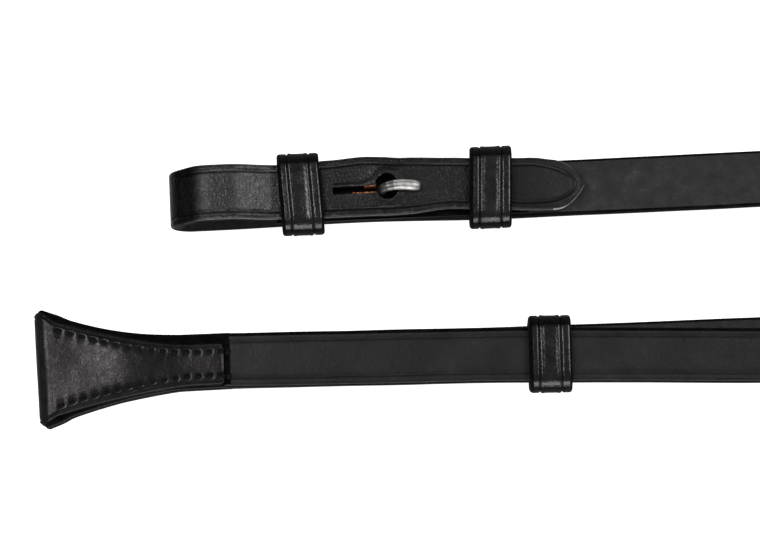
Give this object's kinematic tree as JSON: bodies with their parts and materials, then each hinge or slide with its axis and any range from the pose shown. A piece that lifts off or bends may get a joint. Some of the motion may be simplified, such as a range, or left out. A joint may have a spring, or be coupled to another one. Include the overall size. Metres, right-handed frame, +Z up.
{
  "type": "leather reins",
  "caption": "Pair of black leather reins with a sewn flared hand end, a sliding runner, and hook-stud bit ends that loop round the bit rings through creased keepers.",
  "frame": {"origin": "middle of the underside of the sewn hand-end cover, on the surface that the reins lie on", "axes": "+X along the hand-end straps, from the sewn end towards the runner; +Y from the hand end towards the near bit end; +Z up"},
  "size_m": [0.4518, 0.1696, 0.0247],
  "materials": {
    "cover_leather": "glossy black bridle leather, pebbled grain",
    "rein_leather": "satin black grain with creased edges, mottled matte flesh side",
    "billet_leather": "satin black grain, creased and burnished edges",
    "keeper_leather": "glossy black leather with pressed rims",
    "lining_leather": "matte black leather",
    "waxed_thread": "dark waxed linen thread",
    "stud_steel": "bright nickel-plated metal"
  },
  "bodies": {
    "reins": {"billet_lining_near": "lining_leather", "billet_lining_off": "lining_leather", "bit_billet_near": "billet_leather", "bit_billet_off": "billet_leather", "bit_keeper_near": "keeper_leather", "bit_keeper_off": "keeper_leather", "hand_end_cover": "cover_leather", "hand_end_stitches_lower": "waxed_thread", "hand_end_stitches_upper": "waxed_thread", "hook_stud_near": "stud_steel", "hook_stud_off": "stud_steel", "lining_stitches_near": "waxed_thread", "lining_stitches_off": "waxed_thread", "point_keeper_near": "keeper_leather", "point_keeper_off": "keeper_leather", "rein_near_hand_tail": "rein_leather", "rein_near_lower": "rein_leather", "rein_near_upper": "rein_leather", "rein_off_hand_tail": "rein_leather", "rein_off_lower": "rein_leather", "rein_off_upper": "rein_leather", "rein_roll": "rein_leather"},
    "runner": {"centre_runner": "keeper_leather"}
  },
  "joints": [
    {"name": "runner_slide", "type": "slide", "parent": "reins", "child": "runner", "axis": [1, 0, 0], "range_m": [-0.085, 0]}
  ]
}
